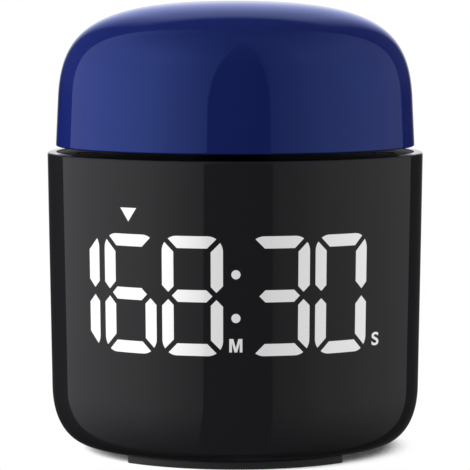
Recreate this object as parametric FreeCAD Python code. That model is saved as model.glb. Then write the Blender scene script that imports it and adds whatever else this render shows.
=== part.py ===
import FreeCAD, Part
import math
import os

V = FreeCAD.Vector

# Twist-dome LED countdown timer.  Millimetres, +Z up, display towards -Y.
# Origin: centre of the foot's underside, where the timer stands.

# ---- driving dimensions: outer form ----------------------------------------
foot_height = 1.28            # how far the foot stands the body off the table
foot_rim = 2.05               # foot beyond the cover's recess, at its curved ends
foot_half_width = 17.7        # its two flat sides
body_height = 49.26           # underside of the body to its rim
body_radius = 32.0            # at the rim
body_draft = 0.0158           # the wall leans in by this much per mm downwards
base_flat_radius = 26.7       # flat part of the body's underside
base_curve_flat = 0.6         # how far the rounded edge follows the underside
base_curve_height = 9.47      # height of the rounded bottom edge
base_curve_handle = 7.75      # how far that curve follows the wall
base_curve_bands = 3          # cone bands that the rounded edge is turned in
rim_round = 0.4
shell_wall = 1.8
floor_thickness = 2.0
floor_bevel = 4.4             # sloped corner between floor and wall, inside

knob_gap = 0.98               # slot between body and dome
knob_inset = 1.45             # dome edge inside the rim
knob_height = 24.63
knob_skirt_height = 8.1
knob_skirt_lean = 0.045       # per mm upwards
knob_shoulder_handle = 11.5
knob_crown_handle = 24.4
knob_curve_bands = 5          # cone bands of the crown
knob_ceiling_radius = 19.0    # flat part of the dome's inside
knob_ceiling = 3.6            # below the crown
knob_wall = 2.0

# ---- driving dimensions: display -------------------------------------------
digit_height = 19.42
digit_width = 10.2
digit_stroke = 2.05
digit_gap = 0.97              # between digits of one pair
colon_gap = 4.07              # between the pairs
digits_off_centre = 0.09
one_gap = 1.1                 # between the leading half digit and its neighbour
digit_centre_height = 28.88
segment_gap = 1.2             # measured along the digit's edges
colon_spread = 7.1
colon_radius = 0.78
pointer_width = 3.1
pointer_height = 2.2
pointer_rise = 2.0            # above the digits
letter_window = 2.3           # small square wells beside the digits
letter_drop = 2.1             # left of the colon's axis and right of the last digit
reflector_margin = 2.95       # plain strip above and below what is shown
reflector_overhang = 1.1      # past the outermost segment
reflector_edge = 2.0          # thickness of its two ends
well_taper = 0.72             # back outline of a light well over its front one
diffuser_thickness = 1.0
diffuser_setback = 0.3
diffuser_share = 0.94         # of its well's outline
led_size = (0.6, 0.5, 0.8)

# ---- driving dimensions: deck, encoder and knob carrier ---------------------
deck_thickness = 2.0
deck_drop = 0.1               # deck below the rim
deck_flange = 1.0             # edge that sits in a rebate of the shell
rim_lip = 1.5                 # what the rebate leaves of the shell's rim
deck_rib_depth = 1.5
deck_rib_width = 1.2
deck_rib_count = 8
deck_rib_start = 9.0          # ribs begin outside the encoder
deck_boss_radius = 2.8
deck_boss_inset = 4.2         # screw circle inside the wall
deck_boss_depth = 9.0
deck_boss_angles = (-10.0, 40.0, 140.0, 190.0)
deck_screw_sink = 1.4         # heads let into the deck, out of sight under the dome

press_travel = 0.6
shaft_radius = 3.0
shaft_flat = 1.5              # D flat, from the axis
shaft_length = 20.6
bushing_radius = 3.5
bushing_height = 5.6
bushing_plate = 1.0
encoder_side = 12.0
encoder_height = 5.8
encoder_floor = 0.8
encoder_cavity_radius = 5.2
spring_height = 2.0
spring_radius = 2.0
spring_wire = 0.18
spring_turns = 3
spring_runs = 8               # straight runs in each turn of a spring
spring_sides = 5              # sides of a spring's wire
plunger_radius = 3.2
plunger_thickness = 1.0
code_wheel_radius = 4.6
code_wheel_thickness = 0.6
code_wheel_lift = 0.55        # above the shaft's lower end
code_wheel_slots = 6
code_wheel_slot_length = 0.9
code_wheel_slot_width = 0.8
nut_across_flats = 10.0
nut_thickness = 2.0

hub_clearance = 0.3           # left under the hub at full press
hub_boss_radius = 5.2
hub_boss_height = 12.3
hub_arm_half_width = 4.2
hub_plate_thickness = 2.0
hub_plate_lift = 2.1          # plate above the hub's lower end
hub_rib_height = 4.0
hub_rib_width = 1.2
knob_post_circle = 14.0
knob_post_radius = 2.6
knob_post_count = 3
knob_rib_width = 1.2
knob_rib_count = 6
knob_rib_depth = 2.4

# ---- driving dimensions: boards ---------------------------------------------
board_thickness = 1.6
knob_board_half_width = 9.0
rear_board_half_width = 12.2
rear_board_height = 25.0
rear_board_lift = 3.4         # above the battery tray
rail_depth = 1.2
rail_width = 1.6
header_height = 2.6
header_half_width = 6.4
chip_size = (7.6, 1.5, 10.2)
chip_pin_count = 8
chip_pin_length = 1.2

# ---- driving dimensions: battery bay ----------------------------------------
cell_radius = 5.25
cell_length = 44.5
cell_button_radius = 1.9
cell_button_height = 0.9
cell_gap = 0.3                # between the two cells
bay_side_gap = 0.75           # outside the cells
bay_corner = 3.0
cell_lift = 0.25              # lowest line of the cells above the floor's top
contact_spring_length = 2.4
contact_spring_radius = 2.6
contact_spring_wire = 0.3
contact_thickness = 0.3
contact_half_width = 3.6
strap_half_width = 1.5
tray_wall = 1.0
tray_roof = 1.4
tray_ear_length = 5.6
tray_ear_half_width = 2.8
tray_ear_thickness = 1.5
tray_boss_height = 3.6
door_ledge = 0.8              # ledge that stops the door
door_thickness = 1.4
door_recess = 0.3             # door above the foot's underside
tongue_centres = 4.4
tongue_half_width = 1.7
tongue_length = 1.0
tongue_thickness = 1.0
door_hinge_bevel = 0.8
door_rib_width = 1.2
latch_half_width = 3.2
latch_slot = 0.8
latch_length = 7.0
thumb_notch_radius = 4.5

# ---- driving dimensions: rear switch and sounder ----------------------------
switch_height = 26.0          # above the table
switch_travel = 2.0           # each way from the middle
switch_knob_half = (2.2, 1.5)
switch_knob_proud = 0.7
switch_body_half = (6.2, 2.6)
switch_body_depth = 4.8
switch_stem_half = (1.9, 0.9)
switch_stem_depth = 3.0
sounder_radius = 6.0
sounder_depth = 6.2
sounder_gap = 0.35            # between its edge and the wall
sounder_rise = 11.5           # above the switch
sound_hole_radius = 0.8
sound_hole_pitch = 3.0

# ---- driving dimensions: screws ----------------------------------------------
screw_radius = 1.0
screw_head_radius = 2.0
screw_head_height = 1.3
screw_edge_share = 0.55       # upright part of a head's height
screw_crown_share = 0.75      # flat top of a head over its width
screw_length = 7.0
small_screw_length = 5.0
small_screw_scale = 0.8
screw_sides = 8

# ---- clearances ---------------------------------------------------------------
running = 0.05                # radial, shaft in its bushing
seat = 0.02                   # round pieces fixed in one another
slip = 0.15                   # parts that drop into each other
free = 0.25                   # parts that move past each other
block_tray_gap = 0.64         # display block above the battery tray
block_deck_gap = 2.7          # display block below the deck

# ---- levels and places worked out from the sizes -------------------------------
body_base = foot_height
rim_level = body_base + body_height
floor_top = body_base + floor_thickness
wall_start = body_base + base_curve_height
knob_base = rim_level + knob_gap
knob_top = knob_base + knob_height
knob_radius = body_radius - knob_inset
deck_top = rim_level - deck_drop
deck_under = deck_top - deck_thickness
encoder_top = deck_under
encoder_base = encoder_top - bushing_plate - encoder_height
bushing_top = encoder_top + bushing_height
spring_base = encoder_base + encoder_floor
plunger_base = spring_base + spring_height
shaft_base = plunger_base + plunger_thickness + running
shaft_top = shaft_base + shaft_length
hub_base = bushing_top + press_travel + hub_clearance
hub_top = hub_base + hub_boss_height
hub_plate_base = hub_base + hub_plate_lift
hub_plate_top = hub_plate_base + hub_plate_thickness
digit_bottom = digit_centre_height - digit_height / 2
digit_top = digit_centre_height + digit_height / 2

cell_pitch = 2 * cell_radius + cell_gap
bay_half_width = cell_pitch / 2 + cell_radius + bay_side_gap
bay_half_length = (cell_length + contact_spring_length) / 2 + contact_thickness
cell_axis = floor_top + cell_lift + cell_radius
tray_top = cell_axis + cell_radius + slip + tray_roof
reflector_base = tray_top + block_tray_gap
reflector_top = deck_under - block_deck_gap
tray_half_width = bay_half_width + tray_wall
tray_half_length = bay_half_length + tray_wall
door_seat = foot_height + door_ledge
hinge_reach = bay_half_length + door_ledge - free / 2
contact_face = bay_half_length - contact_thickness
foot_radius = bay_half_length + door_ledge + foot_rim
door_rib_top = cell_axis - cell_radius - free
rear_board_base = tray_top + rear_board_lift
sounder_level = switch_height + sounder_rise
knob_board_top = encoder_base
knob_board_base = knob_board_top - board_thickness


def body_radius_at(z):
    """Outer radius of the body's straight wall."""
    return body_radius - body_draft * (rim_level - z)


def chord(radius, half_width):
    """Distance from the axis at which a circle is twice the half width across."""
    return math.sqrt(radius ** 2 - half_width ** 2)


inner_radius = body_radius_at(wall_start) - shell_wall
display_radius = body_radius_at(digit_centre_height)
reflector_radius = inner_radius - slip
deck_boss_reach = inner_radius - deck_boss_inset
right_pair = digits_off_centre + colon_gap / 2
left_pair = digits_off_centre - colon_gap / 2 - 2 * digit_width - digit_gap
digit_lefts = [pair + i * (digit_width + digit_gap) for pair in (left_pair, right_pair) for i in (0, 1)]
shown_end = digit_lefts[3] + digit_width + letter_drop + letter_window / 2
reflector_half_width = display_radius * math.sin(shown_end / display_radius) + reflector_overhang
reflector_back = chord(reflector_radius, reflector_half_width) - reflector_edge
display_board_back = -reflector_back + board_thickness
display_board_half_width = chord(inner_radius, reflector_back) - free
sounder_reach = inner_radius - sounder_gap
rear_board_face = chord(sounder_reach, sounder_radius) - sounder_depth - board_thickness
switch_face = rear_board_face + board_thickness + switch_body_depth


# ---- small helpers -------------------------------------------------------------
def curved(poles, bands):
    """Points along a Bezier curve through its first and last poles."""
    curve = Part.BezierCurve()
    curve.setPoles([V(r, 0, z) for r, z in poles])
    spots = [curve.value(i / bands) for i in range(bands + 1)]
    return [(spot.x, spot.z) for spot in spots]


def turned(points):
    """Solid of revolution about Z from a closed outline of (r, z) points."""
    outline = Part.makePolygon([V(r, 0, z) for r, z in points + points[:1]])
    return Part.Face(outline).revolve(V(0, 0, 0), V(0, 0, 1), 360)


def tapered(near, far):
    """Flat-sided solid between two like outlines."""
    count = len(near)
    sides = []
    for i in range(count):
        n = (i + 1) % count
        sides.append(Part.Face(Part.makePolygon([near[i], near[n], far[n], far[i], near[i]])))
    ends = [Part.Face(Part.makePolygon(points + points[:1])) for points in (near, far)]
    solid = Part.makeSolid(Part.makeShell(sides + ends))
    return solid if solid.Volume > 0 else solid.reversed()


def corners(radius, z, sides=6):
    """Corner points of a regular polygon about the axis."""
    turns = [2 * math.pi * i / sides for i in range(sides)]
    return [V(radius * math.cos(a), radius * math.sin(a), z) for a in turns]


def box(x0, x1, y0, y1, z0, z1):
    return Part.makeBox(x1 - x0, y1 - y0, z1 - z0, V(x0, y0, z0))


def rod(radius, z0, z1, x=0.0, y=0.0):
    return Part.makeCylinder(radius, z1 - z0, V(x, y, z0))


def rod_y(radius, y0, y1, x=0.0, z=0.0):
    return Part.makeCylinder(radius, y1 - y0, V(x, y0, z), V(0, 1, 0))


def rounded_plate(half_x, half_y, corner, z0, z1):
    """Upright-cornered plate with rounded corners, centred on the axis."""
    plate = box(-half_x, half_x, -half_y, half_y, z0, z1)
    upright = [e for e in plate.Edges if abs(e.Vertexes[0].Z - e.Vertexes[-1].Z) > (z1 - z0) / 2]
    return plate.makeFillet(corner, upright)


def about_z(shape, angle):
    copy = shape.copy()
    copy.rotate(V(0, 0, 0), V(0, 0, 1), angle)
    return copy


def spread(shape, count, first=0.0):
    return [about_z(shape, first + 360.0 * i / count) for i in range(count)]


def mirrored_x(shape):
    return shape.mirror(V(0, 0, 0), V(1, 0, 0))


def less(shape, tools):
    """The shape with each tool cut away in turn."""
    for tool in tools:
        shape = shape.cut(tool)
    return shape


def joined(shape, others):
    """One solid of the shape and the others."""
    for other in others:
        shape = shape.fuse(other)
    return shape.removeSplitter()


def coil(radius, wire, z0, z1, turns):
    """Compression spring between two levels, bent in short straight runs."""
    steps = spring_runs * turns
    rise = (z1 - z0 - 2 * wire) / steps
    turn = 2 * math.pi / spring_runs
    spots = [V(radius * math.cos(turn * i), radius * math.sin(turn * i), z0 + wire + rise * i)
             for i in range(steps + 1)]
    along = (spots[1] - spots[0]).normalize()
    across_run = along.cross(V(0, 0, 1)).normalize()
    up = across_run.cross(along)
    angles = [2 * math.pi * i / spring_sides for i in range(spring_sides + 1)]
    section = Part.makePolygon([spots[0] + across_run * (wire * math.cos(a)) + up * (wire * math.sin(a))
                                for a in angles])
    return Part.makePolygon(spots).makePipeShell([section], True, False, 1)


def prism(radius, z0, z1, x=0.0):
    """Upright many-sided boss, hole or shank."""
    return tapered(corners(radius, z0, screw_sides), corners(radius, z1, screw_sides)).translated(V(x, 0, 0))


def screw(z_seat, length, head_up=True, scale=1.0):
    """Pan-head screw on the axis, its head resting at z_seat."""
    way = scale if head_up else -scale
    crown = z_seat + way * screw_head_height
    edge = z_seat + way * screw_head_height * screw_edge_share
    head = tapered(corners(scale * screw_head_radius, z_seat, screw_sides),
                   corners(scale * screw_head_radius, edge, screw_sides))
    top = tapered(corners(scale * screw_head_radius, edge, screw_sides),
                  corners(scale * screw_head_radius * screw_crown_share, crown, screw_sides))
    shank = tapered(corners(scale * screw_radius, z_seat, screw_sides),
                    corners(scale * screw_radius, z_seat - way / scale * length, screw_sides))
    reach = scale * screw_head_radius / 2
    slot = box(-reach, reach, -reach / 4, reach / 4, min(edge, crown), max(edge, crown))
    return joined(head, [top, shank]).cut(slot)


# ---- body shell ------------------------------------------------------------------
def body_outside():
    """The body's outer form as one solid."""
    wall_low = body_radius_at(wall_start)
    edge = curved([(base_flat_radius, body_base), (base_flat_radius + base_curve_flat, body_base),
                   (wall_low, wall_start - base_curve_handle), (wall_low, wall_start)], base_curve_bands)
    rim = [(body_radius, rim_level - rim_round), (body_radius - rim_round, rim_level)]
    return turned([(0, body_base)] + edge + rim + [(0, rim_level)])


def body_inside(gap=0.0):
    """The straight-walled room above the floor, smaller all round by a gap."""
    wall = inner_radius - gap
    top = rim_level + shell_wall
    return turned([(0, floor_top), (wall - floor_bevel, floor_top), (wall, floor_top + floor_bevel),
                   (wall, top), (0, top)])


def deck_bosses():
    """Screw bosses for the deck, each webbed to the wall."""
    top = deck_under
    boss = prism(deck_boss_radius, top - deck_boss_depth, top, deck_boss_reach)
    web = box(deck_boss_reach, inner_radius + seat, -deck_boss_radius / 2, deck_boss_radius / 2,
              top - deck_boss_depth, top)
    hole = prism(screw_radius + slip, top - deck_boss_depth + deck_boss_radius / 2, top, deck_boss_reach)
    return [about_z(boss.fuse(web).cut(hole), angle) for angle in deck_boss_angles]


def rear_board_rails():
    """Two grooved rails on the rear wall that hold the rear board's edges."""
    top = rear_board_base + rear_board_height
    inner = rear_board_half_width - rail_depth
    outer = rear_board_half_width + rail_width
    rail = box(inner, outer, rear_board_face - rail_width, body_radius, rear_board_base - rail_width, top)
    groove = box(inner, rear_board_half_width + slip, rear_board_face - slip,
                 rear_board_face + board_thickness + slip, rear_board_base - slip, top)
    return [rail.cut(groove), mirrored_x(rail.cut(groove))]


def display_ribs():
    """Two upright ribs on the side walls that back the display board."""
    behind = display_board_back + slip
    rib = box(display_board_half_width - rail_width, body_radius, behind, behind + rail_width,
              reflector_base, reflector_top)
    return [rib, mirrored_x(rib)]


def sound_holes():
    """One hole and a ring of six through the rear wall."""
    hole = prism(sound_hole_radius, 0, body_radius)
    hole.rotate(V(0, 0, 0), V(1, 0, 0), -90)
    spots = [V(0, 0, 0)] + corners(sound_hole_pitch, 0)
    return [hole.translated(V(spot.x, sounder_reach / 2, sounder_level + spot.y)) for spot in spots]


def switch_slot():
    half_x = switch_knob_half[0] + switch_travel + free
    half_z = switch_knob_half[1] + free
    return box(-half_x, half_x, switch_face, body_radius + 1, switch_height - half_z, switch_height + half_z)


def tray_boss_centre():
    return tray_half_width + tray_ear_length - tray_ear_half_width


def make_body_shell():
    outside = body_outside()
    inside = body_inside()
    ribs = deck_bosses() + rear_board_rails() + display_ribs()
    lug = prism(tray_ear_half_width - slip, floor_top - floor_thickness / 4, floor_top + tray_boss_height,
                tray_boss_centre())
    shell = joined(outside.cut(inside), [r.common(outside) for r in ribs] + [lug, mirrored_x(lug)])
    lug_hole = prism(screw_radius + slip, floor_top - floor_thickness / 4, floor_top + tray_boss_height + 1,
                     tray_boss_centre())
    opening = rounded_plate(bay_half_width, bay_half_length, bay_corner, 0, floor_top + floor_bevel)
    rebate = rounded_plate(bay_half_width + door_ledge, bay_half_length + door_ledge, bay_corner + door_ledge,
                           0, door_seat)
    hatch = joined(opening, [rebate] + tongue_notches())
    deck_rebate = rod(body_radius - rim_lip, deck_top - deck_flange, rim_level + slip)
    return less(shell, [deck_rebate, hatch, switch_slot(), lug_hole, mirrored_x(lug_hole)] + sound_holes())


# ---- foot and battery door ---------------------------------------------------------
def tongue_notches():
    """Pockets in the floor above the foot's front rim, for the door's two tongues."""
    far = hinge_reach + tongue_length + free
    half = tongue_half_width + free
    return [box(x - half, x + half, -far, bay_corner - bay_half_length, foot_height, floor_top + free)
            for x in (-tongue_centres, tongue_centres)]


def make_foot():
    """Non-slip foot: a disc with two flats, open in the middle for the door."""
    plan = rod(foot_radius, 0, foot_height)
    plan = plan.common(box(-foot_half_width, foot_half_width, -foot_radius, foot_radius, 0, foot_height))
    half_x = bay_half_width + door_ledge
    half_y = bay_half_length + door_ledge
    opening = rounded_plate(half_x, half_y, bay_corner + door_ledge, 0, foot_height)
    thumb = rod(thumb_notch_radius, 0, foot_height / 2, 0, half_y - thumb_notch_radius / 3)
    return less(plan, [opening, thumb])


def make_battery_door():
    """Door plate with two hooked tongues in front, a spring latch behind and ribs that hold the cells."""
    base = door_recess
    top = base + door_thickness
    half_x = bay_half_width + door_ledge - free
    half_y = bay_half_length + door_ledge - free
    plate = rounded_plate(half_x, half_y, bay_corner + door_ledge - free, base, top)
    under = [f for f in plate.Faces if abs(f.CenterOfMass.z - base) < door_thickness / 9][0]
    under.translate(V(0, door_hinge_bevel, 0))
    plate = plate.common(under.extrude(V(0, -door_hinge_bevel, door_thickness)))
    slots = [box(side * latch_half_width - latch_slot / 2, side * latch_half_width + latch_slot / 2,
                 half_y - latch_length, half_y + 1, base, top) for side in (-1, 1)]
    nose = box(-latch_half_width / 2, latch_half_width / 2, half_y - latch_slot, half_y + free - running,
               base + door_thickness / 2, top)
    tongue_base = foot_height + free
    tongue_top = tongue_base + tongue_thickness
    pieces = [nose]
    for x in (-tongue_centres, tongue_centres):
        x0 = x - tongue_half_width
        x1 = x + tongue_half_width
        pieces.append(box(x0, x1, -half_y + running, -half_y + 2 * tongue_thickness,
                          base + door_thickness / 2, tongue_top))
        pieces.append(box(x0, x1, free - hinge_reach - tongue_length, tongue_thickness - half_y, tongue_base,
                          tongue_top))
    rib_half = bay_half_width - 2 * door_ledge
    for i in (-1, 0, 1):
        y0 = i * cell_length / 4 - door_rib_width / 2
        pieces.append(box(-rib_half, rib_half, y0, y0 + door_rib_width, base, door_rib_top))
    return joined(less(plate, slots), pieces)


# ---- battery tray, cells and contacts -------------------------------------------------
def make_battery_tray():
    tray = box(-tray_half_width, tray_half_width, -tray_half_length, tray_half_length, floor_top, tray_top)
    pocket = box(-bay_half_width, bay_half_width, -bay_half_length, bay_half_length, floor_top,
                 cell_axis + cell_radius / 2)
    cradles = [rod_y(cell_radius + slip, -bay_half_length, bay_half_length, side * cell_pitch / 2, cell_axis)
               for side in (-1, 1)]
    channel = strap_half_width + slip
    straps = [box(side * cell_pitch / 2 - channel, side * cell_pitch / 2 + channel, -bay_half_length,
                  -contact_face + slip, cell_axis, tray_top) for side in (-1, 1)]
    tray = tray.common(body_inside(slip))
    ear_base = floor_top + tray_boss_height
    ear = box(tray_half_width - tray_wall / 2, tray_half_width + tray_ear_length, -tray_ear_half_width,
              tray_ear_half_width, ear_base, ear_base + tray_ear_thickness)
    ear = ear.cut(prism(screw_radius + slip, ear_base, ear_base + tray_ear_thickness, tray_boss_centre()))
    return less(joined(tray, [ear, mirrored_x(ear)]), [pocket] + cradles + straps)


def make_tray_screws():
    one = screw(floor_top + tray_boss_height + tray_ear_thickness, small_screw_length)
    one.translate(V(tray_boss_centre(), 0, 0))
    return Part.makeCompound([one, mirrored_x(one)])


def make_cell(side):
    """Cylindrical cell; the left one has its button to the rear, the right one to the front."""
    can_length = cell_length - cell_button_height
    can = rod_y(cell_radius, 0, can_length)
    cell = can.fuse(rod_y(cell_button_radius, can_length, cell_length)).removeSplitter()
    cell.translate(V(0, contact_face - cell_length - seat, 0))
    if side > 0:
        cell.rotate(V(0, 0, 0), V(0, 0, 1), 180)
    cell.translate(V(side * cell_pitch / 2, 0, cell_axis))
    return cell


def contact_plate(side, rear):
    """Flat contact behind one cell end."""
    x = side * cell_pitch / 2
    y0, y1 = (contact_face, bay_half_length) if rear else (-bay_half_length, -contact_face)
    return box(x - contact_half_width, x + contact_half_width, y0, y1,
               cell_axis - contact_half_width, cell_axis + contact_half_width)


def contact_spring(side, rear):
    x = side * cell_pitch / 2
    spring = coil(contact_spring_radius, contact_spring_wire, 0, contact_spring_length - seat, 3)
    spring.rotate(V(0, 0, 0), V(1, 0, 0), 90 if rear else -90)
    spring.translate(V(x, contact_face if rear else -contact_face, cell_axis))
    return spring


def make_rear_contacts():
    """Series link: one plate across both cells, with the right cell's spring."""
    link = box(-cell_pitch / 2, cell_pitch / 2, contact_face, bay_half_length,
               cell_axis - contact_half_width / 2, cell_axis + contact_half_width / 2)
    plate = joined(contact_plate(-1, True), [contact_plate(1, True), link])
    return Part.makeCompound([plate, contact_spring(1, True)])


def make_front_contacts():
    """Two separate contacts with straps over the tray to the display board."""
    solids = []
    for side in (-1, 1):
        x = side * cell_pitch / 2
        x0 = x - strap_half_width
        x1 = x + strap_half_width
        top = tray_top + contact_thickness
        upright = box(x0, x1, -bay_half_length, -contact_face, cell_axis, top)
        over = box(x0, x1, -bay_half_length, -reflector_back + board_thickness, tray_top, top)
        solids.append(joined(contact_plate(side, False), [upright, over]))
    return Part.makeCompound(solids + [contact_spring(-1, False)])


# ---- display ----------------------------------------------------------------------------
def bar(left, z_mid):
    """Horizontal segment, pointed at both ends."""
    half = digit_stroke / 2
    a = left + half + segment_gap / 2
    b = left + digit_width - half - segment_gap / 2
    return [(a, z_mid), (a + half, z_mid + half), (b - half, z_mid + half), (b, z_mid),
            (b - half, z_mid - half), (a + half, z_mid - half)]


def post(left, z0, z1):
    """Upright segment, pointed at both ends."""
    half = digit_stroke / 2
    lo = z0 + half + segment_gap / 2
    hi = z1 - half - segment_gap / 2
    return [(left, lo), (left + half, lo - half), (left + 2 * half, lo), (left + 2 * half, hi),
            (left + half, hi + half), (left, hi)]


def digit_outlines(left):
    """The seven segments of one digit."""
    half = digit_stroke / 2
    right = left + digit_width - digit_stroke
    low, mid, high = digit_bottom + half, digit_centre_height, digit_top - half
    return [bar(left, high), bar(left, mid), bar(left, low), post(left, mid, high), post(left, low, mid),
            post(right, mid, high), post(right, low, mid)]


def pointer_outline():
    """Downward triangle above the first full digit."""
    mid = digit_lefts[0] + digit_width / 2
    base = digit_top + pointer_rise + pointer_height
    return [(mid - pointer_width / 2, base), (mid + pointer_width / 2, base), (mid, base - pointer_height)]


def square_outline(s, z, size):
    h = size / 2
    return [(s - h, z - h), (s + h, z - h), (s + h, z + h), (s - h, z + h)]


def colon_outline(z):
    turns = [math.radians(45 * i + 22.5) for i in range(8)]
    return [(digits_off_centre + colon_radius * math.cos(a), z + colon_radius * math.sin(a)) for a in turns]


def all_outlines():
    one_left = digit_lefts[0] - one_gap - digit_stroke
    half = digit_stroke / 2
    low, mid, high = digit_bottom + half, digit_centre_height, digit_top - half
    shapes = [post(one_left, mid, high), post(one_left, low, mid)]
    for left in digit_lefts:
        shapes += digit_outlines(left)
    shapes += [colon_outline(digit_centre_height + s * colon_spread / 2) for s in (-1, 1)]
    shapes.append(pointer_outline())
    letter_level = digit_bottom + letter_window / 2
    shapes.append(square_outline(digits_off_centre, letter_level, letter_window))
    shapes.append(square_outline(digit_lefts[3] + digit_width + letter_drop, letter_level, letter_window))
    return shapes


def across(s):
    """Distance across the front of a point s along the curved face."""
    return display_radius * math.sin(s / display_radius)


def on_plane(points, y, scale=1.0):
    flat = [(across(s), z) for s, z in points]
    cx = sum(p[0] for p in flat) / len(flat)
    cz = sum(p[1] for p in flat) / len(flat)
    return [V(cx + (x - cx) * scale, y, cz + (z - cz) * scale) for x, z in flat]


def light_well(points, inset=1.0):
    """Tapered well from the curved front to the flat back."""
    front = on_plane(points, -display_radius, inset)
    back = on_plane(points, -reflector_back, inset * well_taper)
    return tapered(front, back)


def display_screw_spots():
    x = reflector_half_width * 2 / 3
    return [(sx * x, z) for sx in (-1, 1) for z in (reflector_base + reflector_margin / 2,
                                                   reflector_top - reflector_margin / 2)]


def display_screw_holes():
    hole = prism(small_screw_scale * screw_radius + slip, 0, board_thickness + small_screw_length)
    hole.rotate(V(0, 0, 0), V(1, 0, 0), 90)
    hole.translate(V(0, display_board_back, 0))
    return [hole.translated(V(x, 0, z)) for x, z in display_screw_spots()]


def display_block(inset):
    """Block with one flat per digit, its corners on an arc just inside the wall."""
    half = reflector_half_width - inset
    radius = reflector_radius - inset
    first, second, third, fourth = digit_lefts
    breaks = [first - one_gap / 2, second - digit_gap / 2, second + digit_width + one_gap / 2,
              third - one_gap / 2, fourth - digit_gap / 2, fourth + digit_width]
    front = [(x, -chord(radius, x)) for x in [-half] + [across(s) for s in breaks] + [half]]
    plan = front + [(half, -reflector_back), (-half, -reflector_back)]
    face = Part.Face(Part.makePolygon([V(x, y, reflector_base) for x, y in plan + plan[:1]]))
    return face.extrude(V(0, 0, reflector_top - reflector_base))


def make_display_reflector():
    """Block with a tapered light well behind every segment."""
    wells = [light_well(points) for points in all_outlines()]
    return less(display_block(0), wells + display_screw_holes())


def make_segment_diffusers():
    """Milky inserts, one at the front of each light well."""
    layer = display_block(diffuser_setback).cut(display_block(diffuser_setback + diffuser_thickness))
    return Part.makeCompound([layer.common(light_well(points, diffuser_share)) for points in all_outlines()])


def make_display_board():
    board = box(-display_board_half_width, display_board_half_width, -reflector_back, display_board_back,
                reflector_base, reflector_top)
    return less(board, display_screw_holes())


def make_display_leds():
    """One chip at the back of each well."""
    width, depth, height = led_size
    chips = []
    for points in all_outlines():
        x = sum(across(s) for s, z in points) / len(points)
        z = sum(z for s, z in points) / len(points)
        chips.append(box(x - width / 2, x + width / 2, -reflector_back - depth, -reflector_back,
                         z - height / 2, z + height / 2))
    return Part.makeCompound(chips)


def make_display_screws():
    """Four small screws through the board into the reflector."""
    one = screw(0, small_screw_length, True, small_screw_scale)
    one.rotate(V(0, 0, 0), V(1, 0, 0), -90)
    one.translate(V(0, display_board_back, 0))
    return Part.makeCompound([one.translated(V(x, 0, z)) for x, z in display_screw_spots()])


def make_controller_chip():
    """Two-row chip on the back of the display board."""
    width, depth, height = chip_size
    y0 = display_board_back
    body = box(-width / 2, width / 2, y0 + depth / 6, y0 + depth, digit_bottom, digit_bottom + height)
    pitch = height / chip_pin_count
    pins = []
    for i in range(chip_pin_count):
        z = digit_bottom + (i + 0.5) * pitch
        pins.append(box(-width / 2 - chip_pin_length, width / 2 + chip_pin_length, y0, y0 + depth / 3,
                        z - pitch / 5, z + pitch / 5))
    return joined(body, pins)


# ---- other boards and what they carry ------------------------------------------------------
def make_knob_board():
    return box(-knob_board_half_width, knob_board_half_width, display_board_back + slip,
               rear_board_face - slip, knob_board_base, knob_board_top)


def make_rear_board():
    return box(-rear_board_half_width, rear_board_half_width, rear_board_face,
               rear_board_face + board_thickness, rear_board_base, rear_board_base + rear_board_height)


def header(y0, y1):
    """Pin header in the corner between an upright board and the knob board."""
    return box(-header_half_width, header_half_width, y0, y1,
               knob_board_base - header_height, knob_board_base)


def make_board_headers():
    front = header(display_board_back, display_board_back + header_height)
    rear = header(rear_board_face - header_height, rear_board_face)
    return Part.makeCompound([front, rear])


def make_sounder():
    """Round sounder can on the rear board, behind the sound holes."""
    face = rear_board_face + board_thickness
    return rod_y(sounder_radius, face, face + sounder_depth, 0, sounder_level)


def make_switch_body():
    half_x, half_z = switch_body_half
    face = rear_board_face + board_thickness
    can = box(-half_x, half_x, face, switch_face, switch_height - half_z, switch_height + half_z)
    stem_x = switch_stem_half[0] + switch_travel + free
    stem_z = switch_stem_half[1] + free
    channel = box(-stem_x, stem_x, switch_face - switch_stem_depth - free, switch_face,
                  switch_height - stem_z, switch_height + stem_z)
    return can.cut(channel)


def make_switch_slider():
    """Stem in the switch and a ribbed finger piece through the wall."""
    stem_x, stem_z = switch_stem_half
    half_x, half_z = switch_knob_half
    proud = body_radius_at(switch_height) + switch_knob_proud
    stem = box(-stem_x, stem_x, switch_face - switch_stem_depth, switch_face + 2 * free,
               switch_height - stem_z, switch_height + stem_z)
    cap = box(-half_x, half_x, switch_face + free, proud, switch_height - half_z, switch_height + half_z)
    groove_width = 2 * half_x / 9
    grooves = [box(x - groove_width / 2, x + groove_width / 2, proud - groove_width / 2, proud,
                   switch_height - half_z, switch_height + half_z)
               for x in (-2 * groove_width, 0, 2 * groove_width)]
    return less(joined(cap, [stem]), grooves)


# ---- deck ------------------------------------------------------------------------------------
def make_top_deck():
    """Cover of the body, ribbed underneath."""
    disc = rod(inner_radius - slip, deck_under, deck_top)
    flange = rod(body_radius - rim_lip - slip, deck_top - deck_flange, deck_top)
    rib_outer = deck_boss_reach - deck_boss_radius - free
    rib = box(deck_rib_start, rib_outer, -deck_rib_width / 2, deck_rib_width / 2,
              deck_under - deck_rib_depth, deck_under)
    ribs = spread(rib, deck_rib_count, 180.0 / deck_rib_count)
    deck = joined(disc, [flange] + ribs)
    hole = rod(bushing_radius + slip, deck_under, deck_top)
    shank = prism(screw_radius + slip, deck_under, deck_top, deck_boss_reach)
    head = prism(screw_head_radius + free, deck_top - deck_screw_sink, deck_top, deck_boss_reach)
    return less(deck, [hole] + [about_z(shank.fuse(head), angle) for angle in deck_boss_angles])


def make_deck_screws():
    one = screw(deck_top - deck_screw_sink, screw_length)
    one.translate(V(deck_boss_reach, 0, 0))
    return Part.makeCompound([about_z(one, angle) for angle in deck_boss_angles])


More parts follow.
